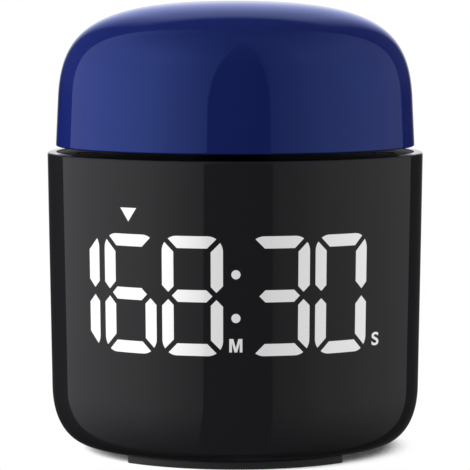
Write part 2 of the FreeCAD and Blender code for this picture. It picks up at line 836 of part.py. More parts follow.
# ---- rotary encoder ----------------------------------------------------------------------------
def make_encoder_body():
    half = encoder_side / 2
    can = box(-half, half, -half, half, encoder_base, encoder_base + encoder_height)
    return can.cut(rod(encoder_cavity_radius, spring_base, encoder_base + encoder_height))


def make_encoder_bushing():
    half = encoder_side / 2
    plate = box(-half, half, -half, half, encoder_top - bushing_plate, encoder_top)
    tube = rod(bushing_radius, encoder_top, bushing_top)
    return plate.fuse(tube).cut(rod(shaft_radius + running, encoder_top - bushing_plate, bushing_top))


def make_encoder_nut():
    corner = nut_across_flats / math.sqrt(3)
    nut = tapered(corners(corner, deck_top), corners(corner, deck_top + nut_thickness))
    return nut.cut(rod(bushing_radius + seat, deck_top, deck_top + nut_thickness))


def make_return_spring():
    return coil(spring_radius, spring_wire, spring_base, plunger_base, spring_turns)


def make_push_plunger():
    """Disc under the shaft that slides with it and doesn't turn."""
    disc = rod(plunger_radius, plunger_base, plunger_base + plunger_thickness)
    reach = encoder_cavity_radius - free
    key = box(-reach, reach, -plunger_radius / 4, plunger_radius / 4,
              plunger_base, plunger_base + plunger_thickness)
    return disc.fuse(key).removeSplitter()


def make_encoder_shaft():
    """Round shaft with a slotted code disc below and a D flat over the length that the hub grips."""
    base = shaft_base + code_wheel_lift
    disc = rod(code_wheel_radius, base, base + code_wheel_thickness)
    slot = box(code_wheel_radius - code_wheel_slot_length, code_wheel_radius + free,
               -code_wheel_slot_width / 2, code_wheel_slot_width / 2, base, base + code_wheel_thickness)
    shaft = joined(rod(shaft_radius, shaft_base, shaft_top), [less(disc, spread(slot, code_wheel_slots))])
    flat = box(shaft_flat, shaft_radius + 1, -shaft_radius, shaft_radius, hub_base, shaft_top + 1)
    return shaft.cut(flat)


# ---- knob ---------------------------------------------------------------------------------------
def dome_outside():
    """The dome's outer form, from its edge up to its crown, as one solid."""
    skirt_top = knob_base + knob_skirt_height
    skirt_radius = knob_radius - knob_skirt_lean * knob_skirt_height
    shoulder = skirt_radius - knob_skirt_lean * knob_shoulder_handle
    crown = curved([(skirt_radius, skirt_top), (shoulder, skirt_top + knob_shoulder_handle),
                    (knob_crown_handle, knob_top), (0, knob_top)], knob_curve_bands)
    return turned([(0, knob_base), (knob_radius, knob_base)] + crown)


def dome_inside():
    """The dome's hollow: a straight wall, a sloped shoulder and a flat ceiling."""
    skirt_top = knob_base + knob_skirt_height
    wall = knob_radius - knob_skirt_lean * knob_skirt_height - knob_wall
    ceiling = knob_top - knob_ceiling
    return turned([(0, knob_base), (wall, knob_base), (wall, skirt_top), (knob_ceiling_radius, ceiling),
                   (0, ceiling)])


def make_dome_knob():
    """Domed grip: a shell with stiffening ribs and three screw posts."""
    inside = dome_inside()
    posts = spread(rod(knob_post_radius, hub_plate_top, knob_top, knob_post_circle), knob_post_count)
    wall = knob_radius - knob_skirt_lean * knob_skirt_height - knob_wall
    rib = box(wall - knob_rib_depth, wall + seat, -knob_rib_width / 2, knob_rib_width / 2,
              hub_plate_base, knob_base + knob_skirt_height)
    ribs = spread(rib, knob_rib_count, 180.0 / knob_rib_count)
    skin = dome_outside().cut(inside)
    pilot = prism(screw_radius + slip, hub_plate_top, hub_plate_top + screw_length, knob_post_circle)
    shell = joined(skin, [p.common(inside) for p in posts] + ribs)
    return less(shell, spread(pilot, knob_post_count))


def make_knob_hub():
    """Three-armed carrier that joins the dome to the D shaft."""
    boss = rod(hub_boss_radius, hub_base, hub_top)
    arm_end = prism(hub_arm_half_width / math.cos(math.pi / screw_sides), hub_plate_base, hub_plate_top,
                    knob_post_circle)
    arm_end.rotate(V(knob_post_circle, 0, 0), V(0, 0, 1), 180 / screw_sides)
    arm_bar = box(0, knob_post_circle, -hub_arm_half_width, hub_arm_half_width, hub_plate_base, hub_plate_top)
    arm = joined(arm_bar, [arm_end])
    rib_end = knob_post_circle - knob_post_radius - free
    rib_top = hub_plate_top + hub_rib_height
    side = [(0, hub_plate_top), (rib_end, hub_plate_top), (hub_boss_radius, rib_top), (0, rib_top)]
    half = hub_rib_width / 2
    rib = tapered([V(x, -half, z) for x, z in side], [V(x, half, z) for x, z in side])
    bore = rod(shaft_radius + seat, hub_base, shaft_top + slip)
    flat = box(shaft_flat + seat, shaft_radius + 1, -shaft_radius, shaft_radius, hub_base, shaft_top + 1)
    hole = prism(screw_radius + slip, hub_plate_base, hub_plate_top, knob_post_circle)
    holes = spread(hole, knob_post_count)
    arms = spread(arm, knob_post_count) + spread(rib, knob_post_count)
    return less(joined(boss, arms), [bore.cut(flat)] + holes)


def make_hub_screws():
    one = screw(hub_plate_base, screw_length, False)
    one.translate(V(knob_post_circle, 0, 0))
    return Part.makeCompound(spread(one, knob_post_count))


# ---- write one file per piece -----------------------------------------------------------------------
pieces = {
    "body_shell": make_body_shell,
    "foot": make_foot,
    "battery_door": make_battery_door,
    "battery_tray": make_battery_tray,
    "tray_screws": make_tray_screws,
    "cell_left": lambda: make_cell(-1),
    "cell_right": lambda: make_cell(1),
    "rear_contacts": make_rear_contacts,
    "front_contacts": make_front_contacts,
    "display_reflector": make_display_reflector,
    "segment_diffusers": make_segment_diffusers,
    "display_board": make_display_board,
    "display_leds": make_display_leds,
    "display_screws": make_display_screws,
    "controller_chip": make_controller_chip,
    "knob_board": make_knob_board,
    "rear_board": make_rear_board,
    "board_headers": make_board_headers,
    "sounder": make_sounder,
    "switch_body": make_switch_body,
    "switch_slider": make_switch_slider,
    "top_deck": make_top_deck,
    "deck_screws": make_deck_screws,
    "encoder_body": make_encoder_body,
    "encoder_bushing": make_encoder_bushing,
    "encoder_nut": make_encoder_nut,
    "return_spring": make_return_spring,
    "push_plunger": make_push_plunger,
    "encoder_shaft": make_encoder_shaft,
    "dome_knob": make_dome_knob,
    "knob_hub": make_knob_hub,
    "hub_screws": make_hub_screws,
}

os.makedirs("parts", exist_ok=True)
for name, make in pieces.items():
    shape = make()
    shape.exportStep("parts/" + name + ".step")
    print(name, "solids", len(shape.Solids), "volume", round(shape.Volume, 1), "valid", shape.isValid())
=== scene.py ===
import math

import bmesh
import bpy
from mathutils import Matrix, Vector


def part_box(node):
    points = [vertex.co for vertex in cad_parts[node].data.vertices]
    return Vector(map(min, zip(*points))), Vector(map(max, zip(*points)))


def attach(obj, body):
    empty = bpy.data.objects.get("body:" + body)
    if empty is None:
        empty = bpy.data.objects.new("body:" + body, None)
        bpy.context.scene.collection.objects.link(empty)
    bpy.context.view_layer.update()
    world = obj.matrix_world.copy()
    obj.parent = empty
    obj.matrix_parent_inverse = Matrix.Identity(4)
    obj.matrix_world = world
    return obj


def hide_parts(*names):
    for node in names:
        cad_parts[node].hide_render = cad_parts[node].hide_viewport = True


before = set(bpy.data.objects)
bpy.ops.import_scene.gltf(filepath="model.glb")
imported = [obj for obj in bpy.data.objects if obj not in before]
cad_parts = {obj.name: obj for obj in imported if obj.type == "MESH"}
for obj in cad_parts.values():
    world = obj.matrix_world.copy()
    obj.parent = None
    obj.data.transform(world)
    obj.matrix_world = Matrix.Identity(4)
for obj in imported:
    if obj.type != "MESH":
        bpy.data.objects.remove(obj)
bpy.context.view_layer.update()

# ---- camera -----------------------------------------------------------------
# A long lens half a metre off, level with the dome's crown, that looks slightly down.
# Sizes here and below are in mm; Blender's own unit is the metre.
MM = 0.001
lens_place = (-0.03, -476.1, 75.87)
lens_dip = 4.77               # degrees below level
lens_length = 213.67
film_width = 36
nearest_seen = 10

camera = bpy.data.objects.new("camera", bpy.data.cameras.new("camera"))
bpy.context.scene.collection.objects.link(camera)
camera.location = [place * MM for place in lens_place]
camera.rotation_euler = (math.radians(90 - lens_dip), 0, 0)
camera.data.lens = lens_length
camera.data.sensor_width = film_width
camera.data.clip_start = nearest_seen * MM
bpy.context.scene.camera = camera

# ---- body shell ---------------------------------------------------------------
# The housing is one gloss-black ABS moulding, turned in form: a wall that leans in
# towards the bottom, a rounded lower edge and a small round on the rim. The switch
# slot and the sound holes go through its back and the cell hatch through its floor.


def box_mm(node):
    """Lowest and highest corner of a solid, in mm."""
    return [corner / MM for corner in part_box(node)]


shell_low, shell_high = box_mm("body_shell")
body_base, rim_level, rim_radius = shell_low.z, shell_high.z, shell_high.x
wall_lean = 0.0158            # inwards, per mm downwards
wall_thickness = 1.8
base_flat = 26.7              # radius of the flat underside
lower_curve = 9.47            # height of the rounded lower edge
lower_curve_flat = 0.6        # how far that curve follows the underside
lower_curve_upright = 7.75    # and how far it follows the wall
rim_round = 0.4
floor_thickness = 2.0
floor_bevel = 4.4             # sloped corner between floor and wall, inside
deck_flange = 1.0             # thin edge of the deck, let into the shell's rim
deck_slip = 0.15              # gap round that edge
free = 0.25                   # gap round a piece that moves
turn_steps = 288

wall_start = body_base + lower_curve
floor_top = body_base + floor_thickness


def wall_radius(level):
    return rim_radius - wall_lean * (rim_level - level)


def bezier(poles, count):
    """Points along a cubic curve of (radius, height) poles."""
    points = []
    for i in range(count + 1):
        t = i / count
        weights = ((1 - t) ** 3, 3 * t * (1 - t) ** 2, 3 * t * t * (1 - t), t ** 3)
        points.append(tuple(sum(w * pole[axis] for w, pole in zip(weights, poles)) for axis in (0, 1)))
    return points


def arc(centre, radius, start, end, count):
    """Points along an arc of an outline, angles in degrees from outwards."""
    angles = [math.radians(start + (end - start) * i / count) for i in range(count + 1)]
    return [(centre[0] + radius * math.cos(a), centre[1] + radius * math.sin(a)) for a in angles]


def rounded_box(low, high, corner_round, count):
    """Anticlockwise outline of a box with rounded corners, from its lowest to its highest corner."""
    outline = []
    for quarter, (right, up) in enumerate(((1, 1), (0, 1), (0, 0), (1, 0))):
        centre = (high[0] - corner_round if right else low[0] + corner_round,
                  high[1] - corner_round if up else low[1] + corner_round)
        outline += arc(centre, corner_round, 90 * quarter, 90 * quarter + 90, count)
    return outline


def placed(name, data):
    """Object for a mesh or a curve that holds its own place."""
    piece = bpy.data.objects.new(name, data)
    bpy.context.scene.collection.objects.link(piece)
    return piece


def shaped(name, work):
    """Object for what has been drawn in a bmesh, which is used up."""
    mesh = bpy.data.meshes.new(name)
    work.to_mesh(mesh)
    work.free()
    return placed(name, mesh)


def turned(name, outline, steps):
    """Closed turned solid from a (radius, height) outline in mm that starts and ends on the axis."""
    work = bmesh.new()
    turns = [2 * math.pi * k / steps for k in range(steps)]
    rings = []
    for radius, level in outline:
        spread = turns if radius > 0 else turns[:1]
        rings.append([work.verts.new((radius * MM * math.cos(a), radius * MM * math.sin(a), level * MM))
                      for a in spread])
    for low, high in zip(rings, rings[1:]):
        for k in range(steps):
            n = (k + 1) % steps
            corners = [low[k % len(low)], low[n % len(low)], high[n % len(high)], high[k % len(high)]]
            work.faces.new(sorted(set(corners), key=corners.index))
    bmesh.ops.recalc_face_normals(work, faces=work.faces)
    return shaped(name, work)


def plate(name, half_x, half_y, corner_round, low, high):
    """Flat plate with rounded corners, centred on the axis."""
    work = bmesh.new()
    outline = rounded_box((-half_x, -half_y), (half_x, half_y), corner_round, count=10)
    base = work.faces.new([work.verts.new((x * MM, y * MM, low * MM)) for x, y in outline])
    raised = bmesh.ops.extrude_face_region(work, geom=[base])["geom"]
    bmesh.ops.translate(work, vec=(0, 0, (high - low) * MM),
                        verts=[v for v in raised if isinstance(v, bmesh.types.BMVert)])
    bmesh.ops.recalc_face_normals(work, faces=work.faces)
    return shaped(name, work)


def block(name, xs, ys, zs):
    """Plain cutter between six faces."""
    work = bmesh.new()
    bmesh.ops.create_cube(work, size=1)
    for v in work.verts:
        v.co = Vector((xs[v.co.x > 0], ys[v.co.y > 0], zs[v.co.z > 0])) * MM
    return shaped(name, work)


def baked(piece):
    """Works the piece's modifiers into its mesh and takes them off."""
    view = bpy.context.evaluated_depsgraph_get()
    mesh = bpy.data.meshes.new_from_object(piece.evaluated_get(view), depsgraph=view)
    piece.modifiers.clear()
    old = piece.data
    piece.data = mesh
    bpy.data.meshes.remove(old)
    return piece


def cut(piece, cutters):
    """Cuts each solid from the piece and takes the cutter away."""
    for cutter in cutters:
        step = piece.modifiers.new("cut", "BOOLEAN")
        step.operation = "DIFFERENCE"
        step.object = cutter
        step.solver = "EXACT"
        bpy.context.view_layer.update()
        baked(piece)
        bpy.data.objects.remove(cutter)


def polished(piece, outline):
    """Smooth shading that follows the turned outline itself, and stays sharp at every cut edge."""
    on_outline = 0.1          # mm; what lies further off is a cut face
    same_face = 0.8           # least cosine between a face and the outline's slope
    slopes = [Vector((after[1] - before[1], before[0] - after[0])).normalized()
              for before, after in zip([outline[0]] + outline, outline[1:] + [outline[-1]])]
    stretches = list(zip(map(Vector, outline), map(Vector, outline[1:]), slopes, slopes[1:]))
    known = {}

    def slope_at(spot):
        """The outline's outward slope beside a (radius, height) spot, or nothing off the outline."""
        found = []
        for start, end, first, last in stretches:
            share = (spot - start).dot(end - start) / (end - start).length_squared
            share = min(max(share, 0), 1)
            found.append(((spot - start.lerp(end, share)).length, first.lerp(last, share).normalized()))
        gap, slope = min(found, key=lambda pair: pair[0])
        return slope if gap < on_outline else None

    normals = []
    for face in piece.data.polygons:
        face.use_smooth = True
        for index in face.vertices:
            spot = piece.data.vertices[index].co / MM
            key = (round(spot.xy.length, 3), round(spot.z, 3))
            if key not in known:
                known[key] = slope_at(Vector(key))
            normal = face.normal
            if known[key]:
                across = spot.xy.normalized() * known[key].x
                skin = Vector((across.x, across.y, known[key].y))
                if skin.dot(face.normal) > same_face:
                    normal = skin
            normals.append(normal)
    piece.data.normals_split_custom_set(normals)


body_skin = bezier([(base_flat, body_base), (base_flat + lower_curve_flat, body_base),
                    (wall_radius(wall_start), wall_start - lower_curve_upright),
                    (wall_radius(wall_start), wall_start)], count=28)
rim_start = rim_level - rim_round
body_skin += arc((wall_radius(rim_start) - rim_round, rim_start), rim_round,
                 start=-math.degrees(wall_lean), end=90, count=8)

deck_high = box_mm("top_deck")[1]
rebate_radius, rebate_level = deck_high.x + deck_slip, deck_high.z - deck_flange
inner_radius = wall_radius(wall_start) - wall_thickness
body_room = [(rebate_radius, rim_level), (rebate_radius, rebate_level), (inner_radius, rebate_level),
             (inner_radius, floor_top + floor_bevel), (inner_radius - floor_bevel, floor_top), (0, floor_top)]
shell = turned("body_shell_gloss", [(0, body_base)] + body_skin + body_room, turn_steps)

# The hatch has a ledge that stops the cover, and a notch for each of the cover's two tongues.
hatch_half = (11.4, 23.75)
hatch_round = 3.0
hatch_ledge = 0.8
tongue_places = (-4.4, 4.4)
notch_half = 1.7 + free
notch_reach = (box_mm("battery_door")[0].y - 2 * free, hatch_round - hatch_half[1])
hatch = [plate("opening", *hatch_half, hatch_round, 0, floor_top + 1),
         plate("rebate", hatch_half[0] + hatch_ledge, hatch_half[1] + hatch_ledge, hatch_round + hatch_ledge,
               0, body_base + hatch_ledge)]
hatch += [block("notch", (x - notch_half, x + notch_half), notch_reach, (body_base - 0.1, floor_top + free))
          for x in tongue_places]

# The switch slot leaves the finger piece its travel to both sides.
switch_travel = 2.0
finger_low, finger_high = box_mm("switch_slider")
slot_half = finger_high.x + switch_travel + free
slot = block("switch_slot", (-slot_half, slot_half), (box_mm("switch_body")[1].y, rim_radius + 2),
             (finger_low.z - free, finger_high.z + free))

# The seven sound holes are one drill shape, set out by nodes: one in the middle and six round it.
hole_radius = 0.8
hole_pitch = 3.0
hole_level = sum(corner.z for corner in box_mm("sounder")) / 2
drill_middle = 31.5           # from the axis
drill_length = 8.0


def add(tree, kind, inputs=(), **settings):
    """Adds a node to a tree with its settings, and gives each input its link or its value."""
    node = tree.nodes.new(kind)
    for name, value in settings.items():
        setattr(node, name, value)
    for socket, given in dict(inputs).items():
        if isinstance(given, bpy.types.NodeSocket):
            tree.links.new(given, node.inputs[socket])
        else:
            node.inputs[socket].default_value = given
    return node


drill = bpy.data.node_groups.new("sound_hole_drills", "GeometryNodeTree")
drill.interface.new_socket("Geometry", in_out="OUTPUT", socket_type="NodeSocketGeometry")
for label in ("Hole radius", "Pitch", "Level"):
    drill.interface.new_socket(label, in_out="INPUT", socket_type="NodeSocketFloat")
drill.interface.new_socket("Finish", in_out="INPUT", socket_type="NodeSocketMaterial")
given = add(drill, "NodeGroupInput").outputs
ring = add(drill, "GeometryNodeMeshCircle", {"Radius": given["Pitch"], "Vertices": 6})
middle = add(drill, "GeometryNodeMeshLine", {"Count": 1})
spots = add(drill, "GeometryNodeJoinGeometry", {"Geometry": ring.outputs["Mesh"]})
drill.links.new(middle.outputs["Mesh"], spots.inputs["Geometry"])
pin = add(drill, "GeometryNodeMeshCylinder",
          {"Radius": given["Hole radius"], "Vertices": 32, "Depth": drill_length * MM})
pins = add(drill, "GeometryNodeInstanceOnPoints",
           {"Points": spots.outputs["Geometry"], "Instance": pin.outputs["Mesh"]})
lift = add(drill, "ShaderNodeCombineXYZ", {"Y": drill_middle * MM, "Z": given["Level"]})
laid = add(drill, "GeometryNodeTransform",
           {"Geometry": pins.outputs["Instances"], "Translation": lift.outputs[0],
            "Rotation": (math.radians(90), 0, 0)})
real = add(drill, "GeometryNodeRealizeInstances", {"Geometry": laid.outputs["Geometry"]})
finish = add(drill, "GeometryNodeSetMaterial",
             {"Geometry": real.outputs["Geometry"], "Material": given["Finish"]})
add(drill, "NodeGroupOutput", {"Geometry": finish.outputs["Geometry"]})


def grown(name, tree, mesh=None, **sizes):
    """Plain mesh object that a node tree makes from its named sizes."""
    piece = placed(name, mesh or bpy.data.meshes.new(name))
    made = piece.modifiers.new(name, "NODES")
    made.node_group = tree
    sockets = {s.name: s.identifier for s in tree.interface.items_tree if s.in_out == "INPUT"}
    for label, value in sizes.items():
        made[sockets[label.replace("_", " ")]] = value
    bpy.context.view_layer.update()
    return baked(piece)


drills = grown("sound_holes", drill, Hole_radius=hole_radius * MM, Pitch=hole_pitch * MM,
               Level=hole_level * MM)
cut(shell, hatch + [slot, drills])
polished(shell, body_skin)


def linear(hex_code):
    """Linear colour with alpha from an sRGB hex code."""
    parts = [int(hex_code[i:i + 2], 16) / 255 for i in (1, 3, 5)]
    return [p / 12.92 if p <= 0.04045 else ((p + 0.055) / 1.055) ** 2.4 for p in parts] + [1.0]


def graded(ramp, stops):
    """Gives a colour ramp its (place, colour) stops, in rising order."""
    points = ramp.color_ramp.elements
    while len(points) < len(stops):
        points.new(0.5)
    for point, (place, colour) in zip(points, stops):
        point.position = place
        point.color = colour
    return ramp.outputs["Color"]


def mottled(name, dark, light, grain, detail=3.0):
    """Material in two tones with a grain of a size in mm, and its tree, shader and noise."""
    made = bpy.data.materials.new(name)
    made.use_nodes = True
    tree = made.node_tree
    shader = tree.nodes["Principled BSDF"]
    where = add(tree, "ShaderNodeTexCoord").outputs["Object"]
    noise = add(tree, "ShaderNodeTexNoise", {"Vector": where, "Scale": 1 / (grain * MM), "Detail": detail})
    tone = add(tree, "ShaderNodeValToRGB", {"Fac": noise.outputs["Fac"]})
    tree.links.new(graded(tone, [(0, linear(dark)), (1, linear(light))]), shader.inputs["Base Color"])
    return made, tree, shader, noise.outputs["Fac"]


def mirror_moulded(name, dark, light, ior):
    """ABS from a mirror-polished tool: sharp reflections under a faint haze, drawn coarse enough to show."""
    made, tree, shader, haze = mottled(name, dark, light, grain=1.1, detail=2.0)
    rough = add(tree, "ShaderNodeMapRange", {"Value": haze, "To Min": 0.015, "To Max": 0.03})
    tree.links.new(rough.outputs["Result"], shader.inputs["Roughness"])
    shader.inputs["IOR"].default_value = ior
    return made, shader


# Black ABS, moulded in a mirror-polished tool: near black, so that almost all one sees
# of it is the studio in its gloss.
gloss_black, shader = mirror_moulded("gloss_black_abs", "#1d1d20", "#1f1f23", ior=1.6)
shell.data.materials.clear()
shell.data.materials.append(gloss_black)
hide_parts("body_shell")
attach(shell, "housing")

# ---- readout ----------------------------------------------------------------------
# The lit segments show on the smoked front wall itself: 168:30 with its colon, a pointer
# triangle and the small M and S. Each mark is a thin curved wafer that hugs the wall;
# distances along it are measured round the wall from the middle of the front.
digit_wide, digit_tall = 10.1, 19.34
digit_floor = 19.21           # lower edge of the digits above the table
readout_radius = 31.65        # of the wall behind the marks
digit_round = 2.5             # outer corners of a digit
stroke = 1.97
wide_stroke = 2.32            # outermost upright strokes, drawn wider
lead_stroke = 2.37
mitre_gap = 0.6               # what the slanted ends of neighbouring segments leave
waist_peak = (1.06, 0.59)     # blunt inner tip of an upright: from its edge, from the middle
waist_bar = 1.70              # pointed tips of the middle bar, from the digit's edges
left_pair, right_pair = (-23.17, -12.05), (2.19, 13.30)
lead_end = -24.46             # right edge of the leading 1
colon_place, colon_radius, colon_levels = 0.12, 0.74, (25.35, 32.40)
pointer = [(-18.15, 40.58), (-16.6, 42.8), (-19.7, 42.8)]
m_place = (-0.95, 19.86)
m_outline = [(0, 0), (0.43, 0), (0.43, 1.5), (0.84, 0), (1.27, 0), (1.68, 1.5), (1.68, 0), (2.11, 0),
             (2.11, 2.17), (1.45, 2.17), (1.055, 0.68), (0.66, 2.17), (0, 2.17)]
s_box = ((24.90, 26.64), (19.82, 22.01))
wafer_thickness = 0.05
wafer_proud = 0.02
strip = 0.4                   # the wafers bend at every 0.4 mm
strip_count = 136


def clipped(outline, fence):
    """The part of a convex outline inside a convex fence, both anticlockwise."""
    for a, b in zip(fence, fence[1:] + fence[:1]):
        side = [(b[0] - a[0]) * (p[1] - a[1]) - (b[1] - a[1]) * (p[0] - a[0]) for p in outline]
        kept = []
        for i, p in enumerate(outline):
            q, side_p, side_q = outline[i - 1], side[i], side[i - 1]
            if (side_p >= 0) != (side_q >= 0):
                t = side_q / (side_q - side_p)
                kept.append((q[0] + (p[0] - q[0]) * t, q[1] + (p[1] - q[1]) * t))
            if side_p >= 0:
                kept.append(p)
        outline = kept
    return outline


def digit(left, lit, left_stroke=stroke, right_stroke=stroke):
    """Outlines of a digit's lit segments, (distance along the wall, height), by their usual letters."""
    fence = rounded_box((0, 0), (digit_wide, digit_tall), digit_round, count=12)
    waist = digit_tall / 2
    tip, drop = waist_peak
    top = digit_tall - mitre_gap
    uprights = {}
    for name, width in (("f", left_stroke), ("b", right_stroke)):
        uprights[name] = [(0, waist + drop + tip), (tip, waist + drop), (width, waist + drop + width - tip),
                          (width, top - width), (0, top)]
    bar = [(stroke + mitre_gap, digit_tall - stroke), (digit_wide - stroke - mitre_gap, digit_tall - stroke),
           (digit_wide - mitre_gap, digit_tall), (mitre_gap, digit_tall)]
    half = stroke / 2
    ends = (waist_bar, waist_bar + half, digit_wide - waist_bar - half, digit_wide - waist_bar)

    def upside_down(outline):
        return [(u, digit_tall - v) for u, v in reversed(outline)]

    shapes = {"a": bar, "d": upside_down(bar), "f": uprights["f"], "e": upside_down(uprights["f"])}
    shapes["b"] = [(digit_wide - u, v) for u, v in reversed(uprights["b"])]
    shapes["c"] = upside_down(shapes["b"])
    shapes["g"] = [(ends[0], waist), (ends[1], waist - half), (ends[2], waist - half), (ends[3], waist),
                   (ends[2], waist + half), (ends[1], waist + half)]
    return [[(left + u, digit_floor + v) for u, v in clipped(shapes[name], fence)] for name in lit]


marks = digit(lead_end - digit_wide, "bc", right_stroke=lead_stroke)
marks += digit(left_pair[0], "afgecd", left_stroke=wide_stroke)
marks += digit(left_pair[1], "abcdefg")
marks += digit(right_pair[0], "abgcd")
marks += digit(right_pair[1], "abcdef", right_stroke=wide_stroke)
marks += [arc((colon_place, level), colon_radius, start=0, end=345, count=23) for level in colon_levels]
marks.append(pointer)
marks.append([(m_place[0] + u, m_place[1] + v) for u, v in m_outline])

flat_marks = bmesh.new()
for outline in marks:
    flat_marks.faces.new([flat_marks.verts.new((s * MM, 0, z * MM)) for s, z in outline])

# The S is a plain letter from the built-in face, fitted to its place.
words = bpy.data.curves.new("letter", "FONT")
words.body = "S"
words.offset = 0.02           # a little bolder than the face
words.resolution_u = 6
shown = placed("letter", words)
bpy.context.view_layer.update()
letter_mesh = bpy.data.meshes.new_from_object(shown)
bpy.data.objects.remove(shown)
spans = [(min(v.co[axis] for v in letter_mesh.vertices), max(v.co[axis] for v in letter_mesh.vertices))
         for axis in (0, 1)]
for v in letter_mesh.vertices:
    s, z = (low + (v.co[axis] - spans[axis][0]) / (spans[axis][1] - spans[axis][0]) * (high - low)
            for axis, (low, high) in enumerate(s_box))
    v.co = (s * MM, 0, z * MM)
flat_marks.from_mesh(letter_mesh)

bmesh.ops.remove_doubles(flat_marks, verts=flat_marks.verts, dist=1e-7)
for face in flat_marks.faces:
    if face.normal.y > 0:
        face.normal_flip()
for i in range(-strip_count // 2, strip_count // 2):
    bmesh.ops.bisect_plane(flat_marks, geom=flat_marks.verts[:] + flat_marks.edges[:] + flat_marks.faces[:],
                           plane_co=(i * strip * MM, 0, 0), plane_no=(1, 0, 0))
flat_mesh = bpy.data.meshes.new("readout_marks")
flat_marks.to_mesh(flat_mesh)
flat_marks.free()

# The node tree thickens the flat marks and bends them round the leaning wall.
wrap = bpy.data.node_groups.new("wrap_on_wall", "GeometryNodeTree")
wrap.interface.new_socket("Geometry", in_out="OUTPUT", socket_type="NodeSocketGeometry")
wrap.interface.new_socket("Geometry", in_out="INPUT", socket_type="NodeSocketGeometry")
for label in ("Rim radius", "Rim level", "Lean", "Bend radius", "Thickness", "Proud"):
    wrap.interface.new_socket(label, in_out="INPUT", socket_type="NodeSocketFloat")
wrap.interface.new_socket("Finish", in_out="INPUT", socket_type="NodeSocketMaterial")
given = add(wrap, "NodeGroupInput").outputs
thick = add(wrap, "GeometryNodeExtrudeMesh",
            {"Mesh": given["Geometry"], "Offset Scale": given["Thickness"], "Individual": False})
back = add(wrap, "GeometryNodeFlipFaces", {"Mesh": given["Geometry"]})
solid = add(wrap, "GeometryNodeJoinGeometry", {"Geometry": thick.outputs["Mesh"]})
wrap.links.new(back.outputs["Mesh"], solid.inputs["Geometry"])
sealed = add(wrap, "GeometryNodeMergeByDistance", {"Geometry": solid.outputs["Geometry"], "Distance": 1e-7})
position = add(wrap, "GeometryNodeInputPosition").outputs[0]
spot = add(wrap, "ShaderNodeSeparateXYZ", {"Vector": position}).outputs
below = add(wrap, "ShaderNodeMath", {0: given["Rim level"], 1: spot["Z"]}, operation="SUBTRACT").outputs[0]
drawn = add(wrap, "ShaderNodeMath", {0: below, 1: given["Lean"]}, operation="MULTIPLY").outputs[0]
skin = add(wrap, "ShaderNodeMath", {0: given["Rim radius"], 1: drawn}, operation="SUBTRACT").outputs[0]
depth = add(wrap, "ShaderNodeMath", {0: given["Proud"], 1: spot["Y"]}, operation="SUBTRACT").outputs[0]
sunk = add(wrap, "ShaderNodeMath", {0: given["Thickness"], 1: depth}, operation="SUBTRACT").outputs[0]
reach = add(wrap, "ShaderNodeMath", {0: skin, 1: sunk}, operation="SUBTRACT").outputs[0]
angle = add(wrap, "ShaderNodeMath", {0: spot["X"], 1: given["Bend radius"]}, operation="DIVIDE").outputs[0]
sine = add(wrap, "ShaderNodeMath", {0: angle}, operation="SINE").outputs[0]
cosine = add(wrap, "ShaderNodeMath", {0: angle}, operation="COSINE").outputs[0]
across = add(wrap, "ShaderNodeMath", {0: reach, 1: sine}, operation="MULTIPLY").outputs[0]
inwards = add(wrap, "ShaderNodeMath", {0: reach, 1: cosine}, operation="MULTIPLY").outputs[0]
front = add(wrap, "ShaderNodeMath", {0: inwards, 1: -1.0}, operation="MULTIPLY").outputs[0]
bent = add(wrap, "ShaderNodeCombineXYZ", {"X": across, "Y": front, "Z": spot["Z"]})
moved = add(wrap, "GeometryNodeSetPosition",
            {"Geometry": sealed.outputs["Geometry"], "Position": bent.outputs[0]})
real = add(wrap, "GeometryNodeRealizeInstances", {"Geometry": moved.outputs["Geometry"]})
finish = add(wrap, "GeometryNodeSetMaterial",
             {"Geometry": real.outputs["Geometry"], "Material": given["Finish"]})
add(wrap, "NodeGroupOutput", {"Geometry": finish.outputs["Geometry"]})

# Milky acrylic, moulded smooth and lit from behind. Its glow carries painted shade: plain white
# on the left and a shade dimmer from the second digit on.
fade_from, fade_to = -12, 22  # places across the front between which the light changes
painted_shading_stops = ((0.0, "#ffffff"), (0.08, "#f4f4f4"), (0.19, "#e2e2e2"), (0.22, "#d6d6d6"), (0.48, "#cacaca"),
              (1.0, "#e0e0e0"))
lit_white = bpy.data.materials.new("lit_milky_acrylic")
lit_white.use_nodes = True
tree = lit_white.node_tree
shader = tree.nodes["Principled BSDF"]
where = add(tree, "ShaderNodeTexCoord").outputs["Object"]
along = add(tree, "ShaderNodeSeparateXYZ", {"Vector": where}).outputs["X"]
# The glow's colour is graded across the front as painted shade: white on the left, dimmer to the right.
fade = add(tree, "ShaderNodeMapRange", {"Value": along, "From Min": fade_from * MM, "From Max": fade_to * MM})
painted_shade = add(tree, "ShaderNodeValToRGB", {"Fac": fade.outputs["Result"]})
lit = graded(painted_shade, [(place, linear(shown)) for place, shown in painted_shading_stops])
tree.links.new(lit, shader.inputs["Emission Color"])
shader.inputs["Emission Strength"].default_value = 1.0
shader.inputs["Base Color"].default_value = linear("#2a2a2c")
shader.inputs["Roughness"].default_value = 0.05
readout = grown("readout_marks", wrap, flat_mesh, Rim_radius=rim_radius * MM, Rim_level=rim_level * MM,
                Lean=wall_lean, Bend_radius=readout_radius * MM, Thickness=wafer_thickness * MM,
                Proud=wafer_proud * MM, Finish=lit_white)
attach(readout, "housing")

# ---- display block and boards -----------------------------------------------------------
# Behind the front wall stands a white block with a light well for each segment, a milky
# insert in each well, and a board with one chip per well. Two more boards carry the
# knob's encoder and the controls at the back, and a sounder sits behind its holes.


